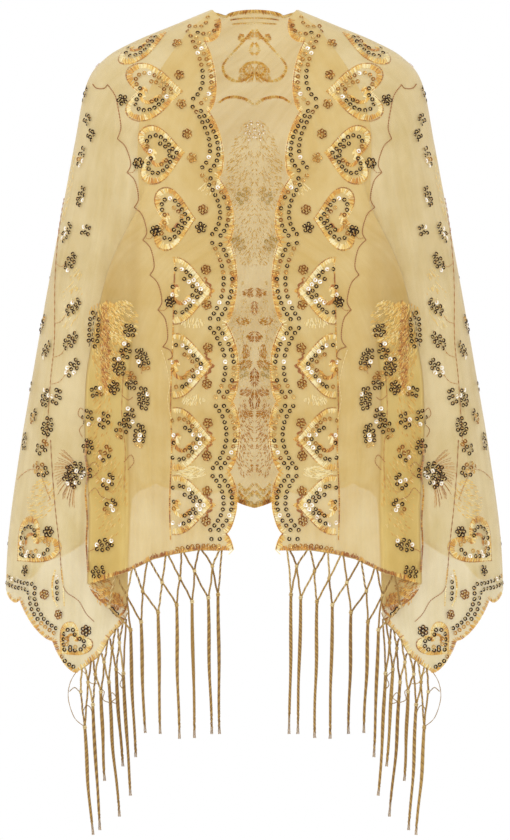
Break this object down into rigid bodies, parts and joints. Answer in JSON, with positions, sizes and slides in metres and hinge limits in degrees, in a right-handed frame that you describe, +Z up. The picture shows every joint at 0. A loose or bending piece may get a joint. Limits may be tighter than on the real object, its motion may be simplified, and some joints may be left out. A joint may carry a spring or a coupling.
{
  "type": "evening stole",
  "caption": "Sheer gold evening stole with scalloped, sequinned long edges and knotted fringe, draped round the shoulders with its ends hanging in front.",
  "frame": {"origin": "where the neck and shoulders hold the stole: on the middle plane, between the two shoulders, 30 mm below the highest point of the neck edge", "axes": "+Z up, +X to the right as seen from the front, the front faces -Y"},
  "size_m": [0.6226, 0.2576, 1.0281],
  "materials": {
    "front_net": "sheer gold net with gold embroidery",
    "back_net": "sheer gold net, seen in shade",
    "fringe_yarn": "twisted viscose yarn"
  },
  "bodies": {
    "root": {"back_stretch": "back_net", "left_arm_stretch": "front_net", "right_arm_stretch": "front_net", "left_front_end": "front_net", "right_front_end": "front_net", "left_front_fringe": "fringe_yarn", "left_arm_fringe": "fringe_yarn", "right_front_fringe": "fringe_yarn", "right_arm_fringe": "fringe_yarn"}
  },
  "joints": []
}
